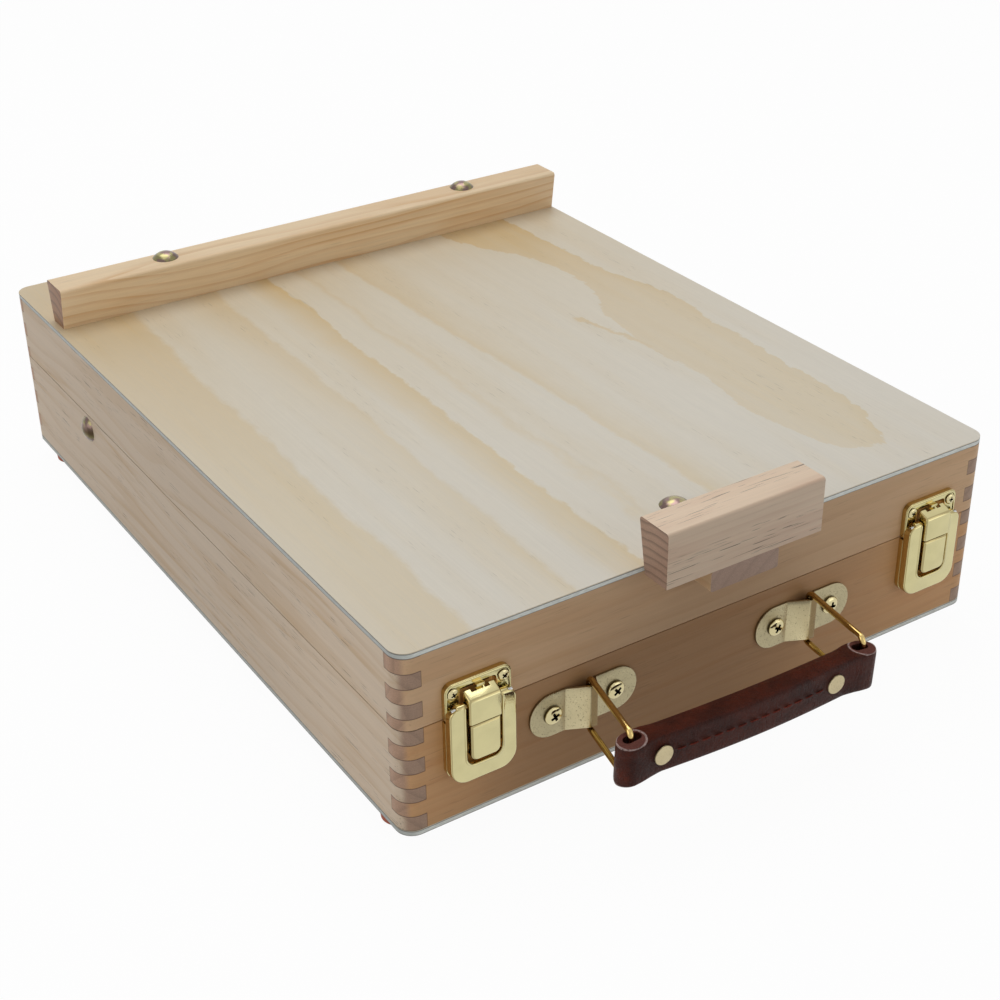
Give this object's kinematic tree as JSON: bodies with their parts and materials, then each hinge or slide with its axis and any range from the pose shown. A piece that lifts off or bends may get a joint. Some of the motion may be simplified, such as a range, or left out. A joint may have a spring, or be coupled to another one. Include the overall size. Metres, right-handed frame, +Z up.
{
  "type": "pochade box",
  "caption": "Finger-jointed wooden painting box: hinged easel lid with canvas ledge and sliding clamp, latches, leather handle, rubber feet, palette and lid props.",
  "frame": {"origin": "on the floor, under the middle of the closed object's outline, handle and hinges included", "axes": "+X along the front to the right, -Y the way the front with the handle faces, +Z up"},
  "size_m": [0.3116, 0.4618, 0.1229],
  "materials": {
    "case_board_side": "waxed pine, pinkish beige",
    "case_board_front": "waxed pine, tan",
    "panel": "pale plywood face",
    "bottom_panel": "plywood",
    "divider": "plywood",
    "rail": "pine strip",
    "ledge": "straight-grained pine",
    "slide": "straight-grained pine",
    "palette_wood": "oiled plywood",
    "dowel": "beech",
    "rubber": "soft reddish-brown rubber",
    "zinc": "yellow zinc plate",
    "bright_steel": "nickel plate",
    "prop_steel": "brass-plated steel bar",
    "hinge_brass": "brass-plated steel",
    "latch_brass": "polished pale brass plate",
    "saddle_brass": "satin brass plate",
    "wire_brass": "polished brass-plated wire",
    "screw_brass": "pale brass plate",
    "leather": "glossy maroon-brown leather",
    "rivet_brass": "matte pale brass"
  },
  "bodies": {
    "tray": {"tray_front_board": "case_board_front", "tray_back_board": "case_board_front", "tray_left_board": "case_board_side", "tray_right_board": "case_board_side", "tray_bottom_panel": "bottom_panel", "rubber_feet": "rubber", "divider_cross_front": "divider", "divider_cross_back": "divider", "divider_middle": "divider", "divider_rear_pair": "divider", "palette_rails": "rail", "hinge_tray_leaves": "hinge_brass", "hinge_tray_screws": "screw_brass", "hinge_pins": "bright_steel", "prop_bolts": "zinc", "prop_washers": "zinc", "latch_base_left": "latch_brass", "latch_base_right": "latch_brass", "latch_pins": "bright_steel", "latch_base_screws": "screw_brass", "handle_saddle_left": "saddle_brass", "handle_saddle_right": "saddle_brass", "handle_saddle_screws": "screw_brass"},
    "lid": {"lid_front_board": "case_board_front", "lid_back_board": "case_board_front", "lid_left_board": "case_board_side", "lid_right_board": "case_board_side", "lid_top_panel": "panel", "canvas_ledge": "ledge", "ledge_bolts": "zinc", "clamp_bolt": "zinc", "clamp_guides": "rail", "lid_washers": "zinc", "prop_studs": "bright_steel", "hinge_lid_leaves": "hinge_brass", "hinge_lid_screws": "screw_brass", "latch_keeper_left": "latch_brass", "latch_keeper_right": "latch_brass", "latch_keeper_screws": "screw_brass"},
    "clamp": {"clamp_bar": "slide", "clamp_block": "slide", "clamp_dowels": "dowel"},
    "palette": {"palette": "palette_wood"},
    "prop_left": {"prop_left": "prop_steel"},
    "prop_right": {"prop_right": "prop_steel"},
    "wing_nut_prop_left": {"wing_nut_prop_left": "zinc"},
    "wing_nut_prop_right": {"wing_nut_prop_right": "zinc"},
    "wing_nut_ledge_left": {"wing_nut_ledge_left": "zinc"},
    "wing_nut_ledge_right": {"wing_nut_ledge_right": "zinc"},
    "wing_nut_clamp": {"wing_nut_clamp": "zinc"},
    "latch_lever_left": {"latch_lever_left": "latch_brass"},
    "latch_lever_right": {"latch_lever_right": "latch_brass"},
    "latch_tongue_left": {"latch_tongue_left": "latch_brass"},
    "latch_tongue_right": {"latch_tongue_right": "latch_brass"},
    "bail_left": {"bail_left": "wire_brass"},
    "bail_right": {"bail_right": "wire_brass"},
    "handle_grip": {"handle_grip": "leather", "handle_rivets": "rivet_brass"}
  },
  "joints": [
    {"name": "lid_hinge", "type": "hinge", "parent": "tray", "child": "lid", "pos_m": [0, 0.22847, 0.0616], "axis": [-1, 0, 0], "range_deg": [0, 95]},
    {"name": "clamp_slide", "type": "slide", "parent": "lid", "child": "clamp", "axis": [0, -1, 0], "range_m": [0, 0.11]},
    {"name": "palette_lift", "type": "slide", "parent": "tray", "child": "palette", "axis": [0, 0, 1], "range_m": [0, 0.018]},
    {"name": "prop_pivot_left", "type": "hinge", "parent": "tray", "child": "prop_left", "pos_m": [-0.1401, 0.13537, 0.053], "axis": [-1, 0, 0], "range_deg": [0, 124.6]},
    {"name": "wing_nut_prop_left_turn", "type": "hinge", "parent": "tray", "child": "wing_nut_prop_left", "pos_m": [-0.134, 0.13537, 0.053], "axis": [1, 0, 0], "continuous": true},
    {"name": "prop_pivot_right", "type": "hinge", "parent": "tray", "child": "prop_right", "pos_m": [0.1401, 0.13537, 0.053], "axis": [-1, 0, 0], "range_deg": [0, 124.6]},
    {"name": "wing_nut_prop_right_turn", "type": "hinge", "parent": "tray", "child": "wing_nut_prop_right", "pos_m": [0.134, 0.13537, 0.053], "axis": [-1, 0, 0], "continuous": true},
    {"name": "wing_nut_ledge_left_turn", "type": "hinge", "parent": "lid", "child": "wing_nut_ledge_left", "pos_m": [-0.0871, 0.17037, 0.09], "axis": [0, 0, -1], "continuous": true},
    {"name": "wing_nut_ledge_right_turn", "type": "hinge", "parent": "lid", "child": "wing_nut_ledge_right", "pos_m": [0.0952, 0.17037, 0.09], "axis": [0, 0, -1], "continuous": true},
    {"name": "wing_nut_clamp_turn", "type": "hinge", "parent": "lid", "child": "wing_nut_clamp", "pos_m": [0, -0.15163, 0.08], "axis": [0, 0, -1], "continuous": true},
    {"name": "latch_lever_left_pivot", "type": "hinge", "parent": "tray", "child": "latch_lever_left", "pos_m": [-0.119, -0.18663, 0.0674], "axis": [-1, 0, 0], "range_deg": [0, 100]},
    {"name": "latch_tongue_left_pivot", "type": "hinge", "parent": "tray", "child": "latch_tongue_left", "pos_m": [-0.119, -0.18663, 0.0674], "axis": [-1, 0, 0], "range_deg": [-30.5, 0]},
    {"name": "latch_lever_right_pivot", "type": "hinge", "parent": "tray", "child": "latch_lever_right", "pos_m": [0.119, -0.18663, 0.0674], "axis": [-1, 0, 0], "range_deg": [0, 100]},
    {"name": "latch_tongue_right_pivot", "type": "hinge", "parent": "tray", "child": "latch_tongue_right", "pos_m": [0.119, -0.18663, 0.0674], "axis": [-1, 0, 0], "range_deg": [-30.5, 0]},
    {"name": "bail_left_swing", "type": "hinge", "parent": "tray", "child": "bail_left", "pos_m": [-0.0668, -0.18473, 0.0436], "axis": [0, 0, 1], "range_deg": [-58, 70]},
    {"name": "bail_right_swing", "type": "hinge", "parent": "tray", "child": "bail_right", "pos_m": [0.0495, -0.18473, 0.0412], "axis": [0, 0, 1], "range_deg": [-58, 70]},
    {"name": "grip_swing", "type": "hinge", "parent": "bail_left", "child": "handle_grip", "pos_m": [-0.07459, -0.22304, 0.0436], "axis": [0, 0, 1], "range_deg": [-68.7, 56.9]}
  ],
  "couplings": [
    {"joint": "prop_pivot_left", "follows": "lid_hinge", "ratio": 1.3101},
    {"joint": "prop_pivot_right", "follows": "lid_hinge", "ratio": 1.3101},
    {"joint": "latch_tongue_left_pivot", "follows": "latch_lever_left_pivot", "ratio": -0.3},
    {"joint": "latch_tongue_right_pivot", "follows": "latch_lever_right_pivot", "ratio": -0.3},
    {"joint": "bail_right_swing", "follows": "bail_left_swing", "ratio": 1},
    {"joint": "grip_swing", "follows": "bail_left_swing", "ratio": -0.98}
  ]
}
